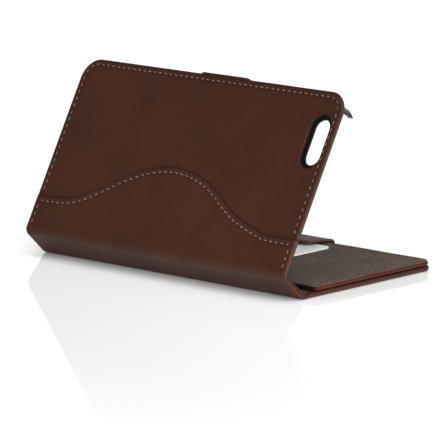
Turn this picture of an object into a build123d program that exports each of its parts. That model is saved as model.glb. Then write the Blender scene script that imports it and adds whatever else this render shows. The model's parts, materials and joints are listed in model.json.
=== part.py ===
from build123d import *
import math
import os

# A leather wallet case for a phone, standing half open on its front cover.
# X runs along the case (+X is the camera end), Y runs from the fold under the spine towards the
# front cover's free edge, and Z is up. The front cover lies flat, and the middle of its outer
# face is the origin. Each panel is drawn on its own plane, whose Y starts at the panel's fold.
# On the spine and the back cover, depth is measured inwards from the outer face.

os.makedirs("parts", exist_ok=True)

# ---- Driving dimensions, in millimetres and degrees ----
LENGTH = 143.5  # along X, all three panels
BACK_WIDTH = 74.2  # back cover, from its fold to its free edge
FRONT_WIDTH = 72.3  # front cover, from its fold to its free edge
SPINE_WIDTH = 14.2  # spine, from fold to fold
SPINE_ANGLE = 134.6  # between the front cover and the spine, as it stands
BACK_ANGLE = 106.0  # between the spine and the back cover, as it stands

PHONE_LENGTH = 138.3  # the bay for the phone, with 0.1 of clearance a side
PHONE_WIDTH = 67.2
PHONE_DEPTH = 7.0

HALF = LENGTH / 2
FOLD_REACH = 1.1  # leather stops this far from each fold line, where the fold strip begins
FOLD_PLAY = 0.05  # gap between a fold strip and the panels or roots beside it
TURN_START = 2.3  # turned edges stop this far from a fold line, so the case can close

COVER_LEATHER = 0.8
BOARD = 0.5
LINING = 0.5
TURNED_EDGE = 2.0  # width of the leather that is turned in round the edges
COVER_THICK = COVER_LEATHER + BOARD + LINING
SEAM = 0.3  # gap between the cover and the pocket panel, the mouth of the long pocket
FRONT_CORNER = 5.0
BACK_CORNER = 8.5

STITCH_PITCH = 2.95
STITCH_LENGTH = 1.9
STITCH_WIDTH = 0.5
STITCH_HEIGHT = 0.2
STITCH_INSET = 2.2

# Closure flaps, at mid length on each free edge
BACK_FLAP = (-8.3, 16.2)  # from and to along X
FRONT_FLAP = (-9.5, 17.5)
BACK_FLAP_START = 0.1  # each flap's two ends, measured from its hinge
BACK_FLAP_LENGTH = 12.3
FRONT_FLAP_START = 0.65
FRONT_FLAP_LENGTH = 14.3
FLAP_CORNER = 4.0
FLAP_LINING = 0.3
FLAP_MAGNET = 0.35
FLAP_LEATHER = 0.4
FLAP_TURN = 1.5
LINING_INSET = 0.2
MAGNET_PLAY = 0.3
ROOT_DEPTH = 8.0  # how far each flap's root runs into its seam
ROOT_PLAY = 0.2  # the root is this much smaller than its room, all round
BACK_ROOT_THICK = 0.5

OVERCUT = 1.0  # a cutting outline runs past an open edge by this much
CUT_THROUGH = 12.0  # a cut this deep goes through any one part

front_flap_middle = (FRONT_FLAP[0] + FRONT_FLAP[1]) / 2
front_flap_width = FRONT_FLAP[1] - FRONT_FLAP[0]
back_flap_middle = (BACK_FLAP[0] + BACK_FLAP[1]) / 2
back_flap_width = BACK_FLAP[1] - BACK_FLAP[0]

# ---- Planes: X along the case, Y across the panel from its fold, Z out of the shown face ----
back_lean = BACK_ANGLE + SPINE_ANGLE - 180
spine_dir = Vector(0, math.cos(math.radians(SPINE_ANGLE)), math.sin(math.radians(SPINE_ANGLE)))
back_dir = Vector(0, math.cos(math.radians(back_lean)), math.sin(math.radians(back_lean)))
lower_fold = Vector(0, -FRONT_WIDTH / 2, 0)
upper_fold = lower_fold + spine_dir * SPINE_WIDTH
front = Plane(lower_fold, x_dir=(1, 0, 0), z_dir=(0, 0, 1))
spine = Plane(lower_fold, x_dir=(1, 0, 0), z_dir=(0, -spine_dir.Z, spine_dir.Y))
back = Plane(upper_fold, x_dir=(1, 0, 0), z_dir=(0, -back_dir.Z, back_dir.Y))


def panel(near, far, half, radius):
    """An outline from near to far across a panel, its two corners at the far edge rounded."""
    with BuildSketch() as outline:
        with Locations((0, (near + far) / 2)):
            Rectangle(2 * half, far - near)
        if radius:
            fillet(outline.vertices().group_by(Axis.Y)[-1], radius)
    return outline.sketch


def stitches(plane, line):
    """Short threads lying on a plane, evenly spaced along a line drawn in that plane's own X and Y."""
    count = round(line.length / STITCH_PITCH)
    spots = []
    for i in range(count):
        share = (i + 0.5) / count
        spots.append(Location(line @ share, (0, 0, line.tangent_angle_at(share))))
    with BuildPart(plane) as row:
        with Locations(*spots):
            Box(
                STITCH_LENGTH,
                STITCH_WIDTH,
                STITCH_HEIGHT,
                align=(Align.CENTER, Align.CENTER, Align.MIN),
            )
    return row


def fold_strip(corner, first_dir, second_dir, thickness):
    """The leather round a fold: an arc tangent to the outer faces of the two panels that meet at corner."""
    reach = FOLD_REACH - FOLD_PLAY
    inside = (first_dir + second_dir).normalized()
    outer_start = corner + first_dir * reach
    outer_end = corner + second_dir * reach
    first_in = (inside - first_dir * inside.dot(first_dir)).normalized()
    second_in = (inside - second_dir * inside.dot(second_dir)).normalized()
    inner_start = outer_start + first_in * thickness
    inner_end = outer_end + second_in * thickness
    with BuildPart() as strip:
        with BuildSketch(Plane.YZ):
            with BuildLine():
                a = Plane.YZ.to_local_coords(outer_start)
                b = Plane.YZ.to_local_coords(outer_end)
                c = Plane.YZ.to_local_coords(inner_end)
                d = Plane.YZ.to_local_coords(inner_start)
                towards = Plane.YZ.to_local_coords(corner) - a
                TangentArc(a, b, tangent=towards)
                Line(b, c)
                TangentArc(d, c, tangent=towards)
                Line(d, a)
            make_face()
        extrude(amount=HALF, both=True)
    return strip


# ---- Front cover: outer leather turned up round a board and a lining ----
FRONT_BOARD_START = 4.0  # from the fold
cover_far = FRONT_WIDTH - TURNED_EDGE
cover_half = HALF - TURNED_EDGE
cover_corner = FRONT_CORNER - TURNED_EDGE
with BuildPart() as front_outer_leather:
    with BuildSketch(front):
        add(panel(FOLD_REACH, FRONT_WIDTH, HALF, FRONT_CORNER))
    extrude(amount=COVER_LEATHER)
    with BuildSketch(front.offset(COVER_LEATHER)):
        add(panel(TURN_START, FRONT_WIDTH, HALF, FRONT_CORNER))
        add(panel(TURN_START - OVERCUT, cover_far, cover_half, cover_corner), mode=Mode.SUBTRACT)
    extrude(amount=COVER_THICK - COVER_LEATHER)
front_outer_leather.part.label = "front_outer_leather"
export_step(front_outer_leather.part, "parts/front_outer_leather.step")

with BuildPart() as front_board:
    with BuildSketch(front.offset(COVER_LEATHER)):
        add(panel(FRONT_BOARD_START, cover_far, cover_half, cover_corner))
    extrude(amount=BOARD)
front_board.part.label = "front_board"
export_step(front_board.part, "parts/front_board.step")

with BuildPart() as front_lining:
    with BuildSketch(front.offset(COVER_LEATHER + BOARD)):
        add(panel(TURN_START, cover_far, cover_half, cover_corner))
    extrude(amount=LINING)
front_lining.part.label = "front_lining"
export_step(front_lining.part, "parts/front_lining.step")

# ---- Pocket panel: sewn on three sides over the cover, open towards the spine ----
POCKET_INSET = 0.3  # the panel is cut this much smaller than the cover
POCKET_MOUTH = 7.0  # its open edge, measured from the fold
POCKET_LEATHER = 0.5
POCKET_BOARD = 0.8
FACING = 0.5
POCKET_TURN = 1.4
SEAM_LAND = (1.2, 3.2)  # the sewn strip lies between these distances from the panel's edge

pocket_base = COVER_THICK + SEAM
pocket_far = FRONT_WIDTH - POCKET_INSET
pocket_half = HALF - POCKET_INSET
pocket_corner = FRONT_CORNER - POCKET_INSET
facing_base = pocket_base + POCKET_LEATHER + POCKET_BOARD
inner_face = facing_base + FACING

with BuildPart() as pocket_leather:
    with BuildSketch(front.offset(pocket_base)):
        add(panel(POCKET_MOUTH, pocket_far, pocket_half, pocket_corner))
    extrude(amount=POCKET_LEATHER)
    with BuildSketch(front.offset(pocket_base + POCKET_LEATHER)):
        add(panel(POCKET_MOUTH, pocket_far, pocket_half, pocket_corner))
        with Locations((0, (POCKET_MOUTH + pocket_far) / 2)):
            Rectangle(
                2 * (pocket_half - POCKET_TURN),
                pocket_far - POCKET_MOUTH - 2 * POCKET_TURN,
                mode=Mode.SUBTRACT,
            )
    extrude(amount=POCKET_BOARD)
    with BuildSketch(front.offset(COVER_THICK)):
        outer, inner = SEAM_LAND
        add(panel(POCKET_MOUTH, pocket_far - outer, pocket_half - outer, pocket_corner - outer))
        add(
            panel(POCKET_MOUTH - OVERCUT, pocket_far - inner, pocket_half - inner, pocket_corner - inner),
            mode=Mode.SUBTRACT,
        )
        with Locations((front_flap_middle, FRONT_WIDTH - ROOT_DEPTH / 2)):
            Rectangle(front_flap_width, ROOT_DEPTH, mode=Mode.SUBTRACT)
    extrude(amount=SEAM)
pocket_leather.part.label = "pocket_leather"
export_step(pocket_leather.part, "parts/pocket_leather.step")

with BuildPart() as pocket_board:
    with BuildSketch(front.offset(pocket_base + POCKET_LEATHER)):
        with Locations((0, (POCKET_MOUTH + pocket_far) / 2)):
            Rectangle(2 * (pocket_half - POCKET_TURN), pocket_far - POCKET_MOUTH - 2 * POCKET_TURN)
    extrude(amount=POCKET_BOARD)
pocket_board.part.label = "pocket_board"
export_step(pocket_board.part, "parts/pocket_board.step")

FACING_INSET = 0.4
with BuildPart() as pocket_facing:
    with BuildSketch(front.offset(facing_base)):
        add(
            panel(
                POCKET_MOUTH + FACING_INSET,
                pocket_far - FACING_INSET,
                pocket_half - FACING_INSET,
                pocket_corner - FACING_INSET,
            )
        )
    extrude(amount=FACING)
pocket_facing.part.label = "pocket_facing"
export_step(pocket_facing.part, "parts/pocket_facing.step")

with BuildLine() as pocket_seam:
    seam_near = POCKET_MOUTH + STITCH_INSET
    seam_far = pocket_far - STITCH_INSET
    seam_half = pocket_half - STITCH_INSET
    FilletPolyline(
        (-seam_half, seam_near),
        (-seam_half, seam_far),
        (seam_half, seam_far),
        (seam_half, seam_near),
        radius=pocket_corner - STITCH_INSET,
    )
pocket_stitches = stitches(front.offset(inner_face), pocket_seam.wires()[0])
pocket_stitches.part.label = "pocket_stitches"
export_step(pocket_stitches.part, "parts/pocket_stitches.step")

# ---- Card slots: three overlapping leaves, their mouths facing the camera end ----
CARD_LENGTH = 85.6
CARD_WIDTH = 54.0
CARD_THICK = 0.4
CARD_CORNER = 3.2
CARD_END = 25.1  # the card's exposed end, along X
CARD_SIDE = 10.0  # its edge nearest the spine
CARD_PLAY = 0.05
SLOT_MOUTHS = (-11.0, -24.0, -37.0)  # along X, the lowest leaf first
SLOT_END = -64.0
SLOT_RAIL = 1.6  # sewn strip round three sides of the lowest leaf
SLOT_PLAY = 0.4  # room beside the card
LEAF = 0.35

slot_near = CARD_SIDE - SLOT_PLAY - SLOT_RAIL
slot_far = CARD_SIDE + CARD_WIDTH + SLOT_PLAY + SLOT_RAIL
slot_cavity = CARD_THICK + 2 * CARD_PLAY
slot_middle = (slot_near + slot_far) / 2

for number, mouth in enumerate(SLOT_MOUTHS, start=1):
    name = f"card_slot_{number}"
    with BuildPart() as card_slot:
        base = inner_face + slot_cavity + LEAF * (number - 1)
        with BuildSketch(front.offset(base)):
            with Locations(((mouth + SLOT_END) / 2, slot_middle)):
                Rectangle(mouth - SLOT_END, slot_far - slot_near)
        extrude(amount=LEAF)
        if number == 1:
            with BuildSketch(front.offset(inner_face)):
                with Locations(((mouth + SLOT_END) / 2, slot_middle)):
                    Rectangle(mouth - SLOT_END, slot_far - slot_near)
                room_from = SLOT_END + SLOT_RAIL
                room_to = mouth + OVERCUT
                room_width = slot_far - slot_near - 2 * SLOT_RAIL
                with Locations(((room_from + room_to) / 2, slot_middle)):
                    Rectangle(room_to - room_from, room_width, mode=Mode.SUBTRACT)
            extrude(amount=slot_cavity)
    card_slot.part.label = name
    export_step(card_slot.part, f"parts/{name}.step")

with BuildPart() as insert_card:
    with BuildSketch(front.offset(inner_face + CARD_PLAY)):
        with Locations((CARD_END - CARD_LENGTH / 2, CARD_SIDE + CARD_WIDTH / 2)):
            RectangleRounded(CARD_LENGTH, CARD_WIDTH, CARD_CORNER)
    extrude(amount=CARD_THICK)
insert_card.part.label = "insert_card"
export_step(insert_card.part, "parts/insert_card.step")

# ---- Spine: the same leather over its own board, with a lining, and a fold strip each side ----
spine_end_reach = SPINE_WIDTH - FOLD_REACH
spine_turn_end = SPINE_WIDTH - TURN_START
SPINE_LINING = 0.4
SPINE_BOARD_START = 3.0
with BuildPart() as spine_leather:
    with BuildSketch(spine):
        add(panel(FOLD_REACH, spine_end_reach, HALF, 0))
    extrude(amount=-COVER_LEATHER)
    with BuildSketch(spine.offset(-COVER_LEATHER)):
        with Locations((0, SPINE_WIDTH / 2)):
            Rectangle(LENGTH, spine_turn_end - TURN_START)
            Rectangle(LENGTH - 2 * TURNED_EDGE, SPINE_WIDTH, mode=Mode.SUBTRACT)
    extrude(amount=-(BOARD + SPINE_LINING))
spine_leather.part.label = "spine_leather"
export_step(spine_leather.part, "parts/spine_leather.step")

with BuildPart() as spine_board:
    with BuildSketch(spine.offset(-COVER_LEATHER)):
        board_end = SPINE_WIDTH - SPINE_BOARD_START
        add(panel(SPINE_BOARD_START, board_end, HALF - TURNED_EDGE, 0))
    extrude(amount=-BOARD)
spine_board.part.label = "spine_board"
export_step(spine_board.part, "parts/spine_board.step")

with BuildPart() as spine_lining:
    with BuildSketch(spine.offset(-COVER_LEATHER - BOARD)):
        add(panel(TURN_START, spine_turn_end, HALF - TURNED_EDGE, 0))
    extrude(amount=-SPINE_LINING)
spine_lining.part.label = "spine_lining"
export_step(spine_lining.part, "parts/spine_lining.step")

lower_fold_strip = fold_strip(lower_fold, Vector(0, 1, 0), spine_dir, COVER_LEATHER)
lower_fold_strip.part.label = "lower_fold_strip"
export_step(lower_fold_strip.part, "parts/lower_fold_strip.step")

# ---- Back cover: the upper leather runs under a lower piece with a wave-shaped edge ----
WAVE_LEATHER = 0.4
UPPER_LEATHER = 0.5
BACK_LEATHER = WAVE_LEATHER + UPPER_LEATHER
upper_fold_strip = fold_strip(upper_fold, spine_dir * -1, back_dir, COVER_LEATHER)
upper_fold_strip.part.label = "upper_fold_strip"
export_step(upper_fold_strip.part, "parts/upper_fold_strip.step")

BACK_TURN = 1.8
BACK_STACK = 1.5  # thickness of the back cover at its turned edges
BACK_BOARD_START = 3.5
CAMERA_X = 63.1  # centre of the camera window along X
CAMERA_UP = 54.0  # and across the panel, from the fold
CAMERA_LONG = 22.0  # window in the leather
CAMERA_WIDE = 10.9
CAMERA_LIP = 1.75  # how much smaller the shell's window is, all round
STITCH_INSET_CAMERA_END = 2.8

# The wave's edge: level at both ends and one crest near the middle
WAVE_POINTS = [
    (-HALF, 15.2),
    (-50.0, 16.8),
    (-30.0, 27.0),
    (-3.0, 34.9),
    (20.0, 29.5),
    (37.0, 20.0),
    (52.0, 15.3),
    (HALF, 14.6),
]
WAVE_STITCH_DROP = 1.8  # the seam runs this far below the edge
EDGE_SEAM_START = 2.0  # the edge's seam begins this far above the wave
EDGE_SEAM_GAP = 3.0  # and goes on this far below the wave's edge
EDGE_SEAM_END = 3.0  # to this far from the fold


def camera_window(shrink):
    """The camera window's slot, made smaller all round by shrink."""
    with BuildSketch() as window:
        with Locations((CAMERA_X, CAMERA_UP)):
            SlotOverall(CAMERA_LONG - 2 * shrink, CAMERA_WIDE - 2 * shrink, rotation=90)
    return window.sketch


with BuildPart() as back_upper_leather:
    with BuildSketch(back.offset(-WAVE_LEATHER)):
        add(panel(FOLD_REACH, BACK_WIDTH, HALF, BACK_CORNER))
    extrude(amount=-UPPER_LEATHER)
    with BuildSketch(back.offset(-BACK_LEATHER)):
        add(panel(TURN_START, BACK_WIDTH, HALF, BACK_CORNER))
        add(
            panel(
                TURN_START - OVERCUT,
                BACK_WIDTH - BACK_TURN,
                HALF - BACK_TURN,
                BACK_CORNER - BACK_TURN,
            ),
            mode=Mode.SUBTRACT,
        )
        with Locations((back_flap_middle, BACK_WIDTH)):
            Rectangle(back_flap_width, 2 * ROOT_DEPTH, mode=Mode.SUBTRACT)
    extrude(amount=-(BACK_STACK - BACK_LEATHER))
    with BuildSketch(back):
        add(camera_window(0))
    extrude(amount=-CUT_THROUGH, mode=Mode.SUBTRACT)
back_upper_leather.part.label = "back_upper_leather"
export_step(back_upper_leather.part, "parts/back_upper_leather.step")

with BuildPart() as back_wave_leather:
    with BuildSketch(back):
        with BuildLine():
            Spline(*WAVE_POINTS, tangents=[(1, 0), (1, 0)])
            Polyline(WAVE_POINTS[-1], (HALF, FOLD_REACH), (-HALF, FOLD_REACH), WAVE_POINTS[0])
        make_face()
    extrude(amount=-WAVE_LEATHER)
back_wave_leather.part.label = "back_wave_leather"
export_step(back_wave_leather.part, "parts/back_wave_leather.step")

with BuildLine() as wave_seam:
    seam_points = [(x, up - WAVE_STITCH_DROP) for x, up in WAVE_POINTS]
    seam_points[0] = (-HALF + STITCH_INSET, seam_points[0][1])
    seam_points[-1] = (HALF - STITCH_INSET_CAMERA_END, seam_points[-1][1])
    Spline(*seam_points, tangents=[(1, 0), (1, 0)])
wave_stitches = stitches(back, wave_seam.wires()[0])
wave_stitches.part.label = "wave_stitches"
export_step(wave_stitches.part, "parts/wave_stitches.step")

with BuildLine() as back_seam:
    left = -HALF + STITCH_INSET
    right = HALF - STITCH_INSET_CAMERA_END
    top = BACK_WIDTH - STITCH_INSET
    FilletPolyline(
        (left, WAVE_POINTS[0][1] + EDGE_SEAM_START),
        (left, top),
        (right, top),
        (right, WAVE_POINTS[-1][1] + EDGE_SEAM_START),
        radius=BACK_CORNER - STITCH_INSET_CAMERA_END,
    )
with BuildPart() as lower_edge_stitches:
    for side, wave_end in ((left, WAVE_POINTS[0][1]), (right, WAVE_POINTS[-1][1])):
        with BuildLine() as lower_seam:
            Line((side, wave_end - EDGE_SEAM_GAP), (side, EDGE_SEAM_END))
        add(stitches(back, lower_seam.wires()[0]).part)
lower_edge_stitches.part.label = "lower_edge_stitches"
export_step(lower_edge_stitches.part, "parts/lower_edge_stitches.step")

back_edge_stitches = stitches(back.offset(-WAVE_LEATHER), back_seam.wires()[0])
back_edge_stitches.part.label = "back_edge_stitches"
export_step(back_edge_stitches.part, "parts/back_edge_stitches.step")

with BuildPart() as back_board:
    with BuildSketch(back.offset(-BACK_LEATHER)):
        board_corner = BACK_CORNER - BACK_TURN
        add(panel(BACK_BOARD_START, BACK_WIDTH - BACK_TURN, HALF - BACK_TURN, board_corner))
    extrude(amount=-BOARD)
    with BuildSketch(back):
        with Locations((back_flap_middle, BACK_WIDTH)):
            Rectangle(back_flap_width, 2 * ROOT_DEPTH)
        add(camera_window(0))
    extrude(amount=-CUT_THROUGH, mode=Mode.SUBTRACT)
back_board.part.label = "back_board"
export_step(back_board.part, "parts/back_board.step")

SHELL_START = 1.55  # depth of the shell's outside
tape_start = BACK_LEATHER + BOARD
phone_middle = BACK_WIDTH / 2
TAPE_X = -12.0  # the tape's middle, clear of the camera window
TAPE_LENGTH = 100.0
TAPE_WIDTH = 50.0
with BuildPart() as shell_tape:
    with BuildSketch(back.offset(-tape_start)):
        with Locations((TAPE_X, phone_middle)):
            Rectangle(TAPE_LENGTH, TAPE_WIDTH)
    extrude(amount=-(SHELL_START - tape_start))
shell_tape.part.label = "shell_tape"
export_step(shell_tape.part, "parts/shell_tape.step")

# ---- Phone shell: a hard tray, low at the spine side and clipped over at its corners ----
SHELL_PLATE = 0.85
SHELL_WALL = 1.1
SHELL_LIP = 0.6  # thickness of the lip over the phone's face
LIP_REACH = 0.8
SHELL_CORNER = 10.0
SHELL_EDGE = 0.5  # radius round its outside
LOW_WALL = 2.0  # height of the wall where it is cut away
WALL_CUT = 10.0  # the cut-away reaches this far in from the panel's fold and free edge
CLIP_ALONG = 22.0  # a corner clip's length along the long side
CLIP_ACROSS = 4.2  # and across the end
TAB_FROM = 20.0  # the spine side's two tabs, from and to along X
TAB_TO = 50.0

shell_length = PHONE_LENGTH + 2 * SHELL_WALL
shell_width = PHONE_WIDTH + 2 * SHELL_WALL
bay_start = SHELL_START + SHELL_PLATE
bay_end = bay_start + PHONE_DEPTH
shell_end = bay_end + SHELL_LIP
low_depth = bay_start + LOW_WALL
with BuildPart() as phone_shell:
    with BuildSketch(back.offset(-SHELL_START)):
        with Locations((0, phone_middle)):
            RectangleRounded(shell_length, shell_width, SHELL_CORNER)
    extrude(amount=-(shell_end - SHELL_START))
    outer_face = phone_shell.faces().sort_by(Axis((0, 0, 0), back.z_dir))[-1]
    fillet(outer_face.edges(), SHELL_EDGE)
    with BuildSketch(back.offset(-bay_start)):
        with Locations((0, phone_middle)):
            RectangleRounded(PHONE_LENGTH, PHONE_WIDTH, SHELL_CORNER - SHELL_WALL)
    extrude(amount=-PHONE_DEPTH, mode=Mode.SUBTRACT)
    with BuildSketch(back.offset(-bay_end)):
        with Locations((0, phone_middle)):
            RectangleRounded(
                PHONE_LENGTH - 2 * LIP_REACH,
                PHONE_WIDTH - 2 * LIP_REACH,
                SHELL_CORNER - SHELL_WALL - LIP_REACH,
            )
    extrude(amount=-CUT_THROUGH, mode=Mode.SUBTRACT)
    # Both ends are open between the corner clips
    with BuildSketch(back.offset(-bay_start)):
        ends_near = phone_middle - shell_width / 2 + CLIP_ACROSS
        ends_far = phone_middle + shell_width / 2 - CLIP_ACROSS
        with Locations((0, (ends_near + ends_far) / 2)):
            Rectangle(LENGTH, ends_far - ends_near)
    extrude(amount=-CUT_THROUGH, mode=Mode.SUBTRACT)
    # The wall is low along the free edge, and at the spine side except for its two tabs
    with BuildSketch(back.offset(-low_depth)):
        with Locations((0, BACK_WIDTH)):
            Rectangle(shell_length - 2 * CLIP_ALONG, 2 * WALL_CUT)
        with Locations((0, 0)):
            Rectangle(2 * TAB_FROM, 2 * WALL_CUT)
        corner_room = LENGTH - TAB_TO
        with Locations((TAB_TO + corner_room / 2, 0), (-TAB_TO - corner_room / 2, 0)):
            Rectangle(corner_room, 2 * WALL_CUT)
    extrude(amount=-CUT_THROUGH, mode=Mode.SUBTRACT)
    with BuildSketch(back):
        add(camera_window(CAMERA_LIP))
    extrude(amount=-CUT_THROUGH, mode=Mode.SUBTRACT)
phone_shell.part.label = "phone_shell"
export_step(phone_shell.part, "parts/phone_shell.step")


# ---- Closure flaps: leather turned round a thin magnet, with a lining ----
def flap_outline(along, near, far, shrink):
    """A flap's outline with a rounded tip, made smaller by shrink; along is its extent along X."""
    with BuildSketch() as outline:
        with Locations(((along[0] + along[1]) / 2, (near + far) / 2)):
            Rectangle(along[1] - along[0] - 2 * shrink, far - near - 2 * shrink)
        fillet(outline.vertices().group_by(Axis.Y)[-1], FLAP_CORNER - shrink)
    return outline.sketch


def flap_pieces(plane, along, near, far):
    """A flap's lining, magnet and leather, stacked outwards from the plane."""
    lining_top = FLAP_LINING
    magnet_top = lining_top + FLAP_MAGNET
    with BuildPart() as lining:
        with BuildSketch(plane):
            add(flap_outline(along, near, far, LINING_INSET))
        extrude(amount=FLAP_LINING)
    with BuildPart() as magnet:
        with BuildSketch(plane.offset(lining_top)):
            add(flap_outline(along, near, far, FLAP_TURN + MAGNET_PLAY))
        extrude(amount=FLAP_MAGNET)
    with BuildPart() as leather:
        with BuildSketch(plane.offset(magnet_top)):
            add(flap_outline(along, near, far, 0))
        extrude(amount=FLAP_LEATHER)
        with BuildSketch(plane.offset(lining_top)):
            add(flap_outline(along, near, far, 0))
            add(flap_outline(along, near, far, FLAP_TURN), mode=Mode.SUBTRACT)
        extrude(amount=FLAP_MAGNET)
    return lining, magnet, leather


BACK_HINGE_UP = 74.3  # the back flap's hinge, across the back cover
BACK_HINGE_DEPTH = 1.75
BACK_FLAP_RISE = 0.05  # its lining clears the hinge line by this much
hinge_point = back.from_local_coords((0, BACK_HINGE_UP, -BACK_HINGE_DEPTH))
back_flap_plane = Plane(hinge_point, x_dir=(1, 0, 0), z_dir=back_dir)
back_flap_lining, back_flap_magnet, back_flap_leather = flap_pieces(
    back_flap_plane.offset(BACK_FLAP_RISE), BACK_FLAP, BACK_FLAP_START, BACK_FLAP_LENGTH
)
back_flap_lining.part.label = "back_flap_lining"
export_step(back_flap_lining.part, "parts/back_flap_lining.step")
back_flap_magnet.part.label = "back_flap_magnet"
export_step(back_flap_magnet.part, "parts/back_flap_magnet.step")
back_flap_leather.part.label = "back_flap_leather"
export_step(back_flap_leather.part, "parts/back_flap_leather.step")

with BuildPart() as back_flap_root:
    with BuildSketch(back.offset(-BACK_LEATHER)):
        with Locations((back_flap_middle, BACK_WIDTH - ROOT_DEPTH / 2)):
            Rectangle(back_flap_width - 2 * ROOT_PLAY, ROOT_DEPTH - 2 * ROOT_PLAY)
    extrude(amount=-BACK_ROOT_THICK)
back_flap_root.part.label = "back_flap_root"
export_step(back_flap_root.part, "parts/back_flap_root.step")

with BuildPart() as back_flap_fold:
    root_end = BACK_WIDTH - ROOT_PLAY + FOLD_PLAY
    fold_outer = BACK_HINGE_DEPTH + BACK_FLAP_RISE - BACK_LEATHER
    with BuildSketch(Plane(back.origin, x_dir=back.y_dir, z_dir=(1, 0, 0))):
        with BuildLine():
            start = (root_end, -BACK_LEATHER)
            end = (root_end + fold_outer, -BACK_LEATHER - fold_outer)
            inner_end_at = (end[0] - BACK_ROOT_THICK, end[1])
            inner_start_at = (root_end, -BACK_LEATHER - BACK_ROOT_THICK)
            TangentArc(start, end, tangent=(1, 0))
            Line(end, inner_end_at)
            TangentArc(inner_start_at, inner_end_at, tangent=(1, 0))
            Line(inner_start_at, start)
        make_face()
    extrude(amount=back_flap_width / 2 - ROOT_PLAY, both=True)
back_flap_fold.part.position += (back_flap_middle, 0, 0)
back_flap_fold.part.label = "back_flap_fold"
export_step(back_flap_fold.part, "parts/back_flap_fold.step")

FRONT_HINGE_Y = 72.6  # from the fold
FRONT_HINGE_Z = 3.6
FRONT_FLAP_TILT = 5.3  # the folded-in flap's tip stands up by this angle
FRONT_FLAP_RISE = 0.4  # its underside clears the hinge line by this much
FRONT_FOLD_RADIUS = 1.3  # outside of the turn from the root to the flap
tilt = math.radians(FRONT_FLAP_TILT)
front_flap_plane = Plane(
    front.from_local_coords((0, FRONT_HINGE_Y, FRONT_HINGE_Z)),
    x_dir=(-1, 0, 0),
    z_dir=(0, math.sin(tilt), math.cos(tilt)),
)
front_flap_lining, front_flap_magnet, front_flap_leather = flap_pieces(
    front_flap_plane.offset(FRONT_FLAP_RISE),
    (-FRONT_FLAP[1], -FRONT_FLAP[0]),
    FRONT_FLAP_START,
    FRONT_FLAP_LENGTH,
)
front_flap_lining.part.label = "front_flap_lining"
export_step(front_flap_lining.part, "parts/front_flap_lining.step")
front_flap_magnet.part.label = "front_flap_magnet"
export_step(front_flap_magnet.part, "parts/front_flap_magnet.step")
front_flap_leather.part.label = "front_flap_leather"
export_step(front_flap_leather.part, "parts/front_flap_leather.step")

with BuildPart() as front_flap_root:
    with BuildSketch(front.offset(COVER_THICK)):
        with Locations((front_flap_middle, FRONT_WIDTH - ROOT_DEPTH / 2)):
            Rectangle(front_flap_width - 2 * ROOT_PLAY, ROOT_DEPTH - 2 * ROOT_PLAY)
    extrude(amount=SEAM)
front_flap_root.part.label = "front_flap_root"
export_step(front_flap_root.part, "parts/front_flap_root.step")

with BuildPart() as front_flap_fold:
    turn_start = FRONT_WIDTH - ROOT_PLAY + FOLD_PLAY
    turn_height = COVER_THICK + FRONT_FOLD_RADIUS
    with BuildSketch(Plane(front.origin, x_dir=front.y_dir, z_dir=(1, 0, 0))):
        with BuildLine():
            low = (turn_start, COVER_THICK)
            high = (turn_start, COVER_THICK + 2 * FRONT_FOLD_RADIUS)
            high_in = (turn_start, high[1] - SEAM)
            low_in = (turn_start, COVER_THICK + SEAM)
            ThreePointArc(low, (turn_start + FRONT_FOLD_RADIUS, turn_height), high)
            Line(high, high_in)
            ThreePointArc(high_in, (turn_start + FRONT_FOLD_RADIUS - SEAM, turn_height), low_in)
            Line(low_in, low)
        make_face()
    extrude(amount=front_flap_width / 2 - ROOT_PLAY, both=True)
front_flap_fold.part.position += (front_flap_middle, 0, 0)
front_flap_fold.part.label = "front_flap_fold"
export_step(front_flap_fold.part, "parts/front_flap_fold.step")
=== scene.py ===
import json
import math

import bmesh
import bpy
import numpy as np
from mathutils import Matrix, Vector


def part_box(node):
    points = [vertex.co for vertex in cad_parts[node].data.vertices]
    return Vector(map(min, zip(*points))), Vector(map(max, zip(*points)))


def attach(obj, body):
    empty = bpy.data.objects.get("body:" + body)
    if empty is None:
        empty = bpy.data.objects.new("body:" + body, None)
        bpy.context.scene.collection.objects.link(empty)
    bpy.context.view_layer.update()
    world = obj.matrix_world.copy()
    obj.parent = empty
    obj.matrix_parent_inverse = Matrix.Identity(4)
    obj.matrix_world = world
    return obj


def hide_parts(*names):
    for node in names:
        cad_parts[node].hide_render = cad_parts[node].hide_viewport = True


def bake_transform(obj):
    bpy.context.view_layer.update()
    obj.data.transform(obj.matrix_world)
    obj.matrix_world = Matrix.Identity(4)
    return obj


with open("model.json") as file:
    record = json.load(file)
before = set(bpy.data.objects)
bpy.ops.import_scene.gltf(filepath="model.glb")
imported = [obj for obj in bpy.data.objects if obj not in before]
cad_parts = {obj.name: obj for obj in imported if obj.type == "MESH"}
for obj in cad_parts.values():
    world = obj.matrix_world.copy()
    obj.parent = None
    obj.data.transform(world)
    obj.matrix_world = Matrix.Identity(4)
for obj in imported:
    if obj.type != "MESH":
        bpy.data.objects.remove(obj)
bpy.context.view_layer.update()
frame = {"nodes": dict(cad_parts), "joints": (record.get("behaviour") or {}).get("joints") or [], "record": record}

# The look of a leather wallet case for a phone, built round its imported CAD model.
# Shapes are worked out in millimetres and written in metres. X runs along the case, u across a
# panel from its fold, and depth inwards from the panel's outer face.

MM = 0.001
X_DIR = np.array([1.0, 0.0, 0.0])


# ---- The camera, at the photograph's viewing angle ----
AZIMUTH = math.radians(45.46)
ELEVATION = math.radians(11.04)
ROLL = math.radians(-1.26)
DISTANCE = 1.781
TARGET = Vector((0.00995, -0.01615, 0.01829))
LENS = 370.85
SENSOR = 36.0


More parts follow.
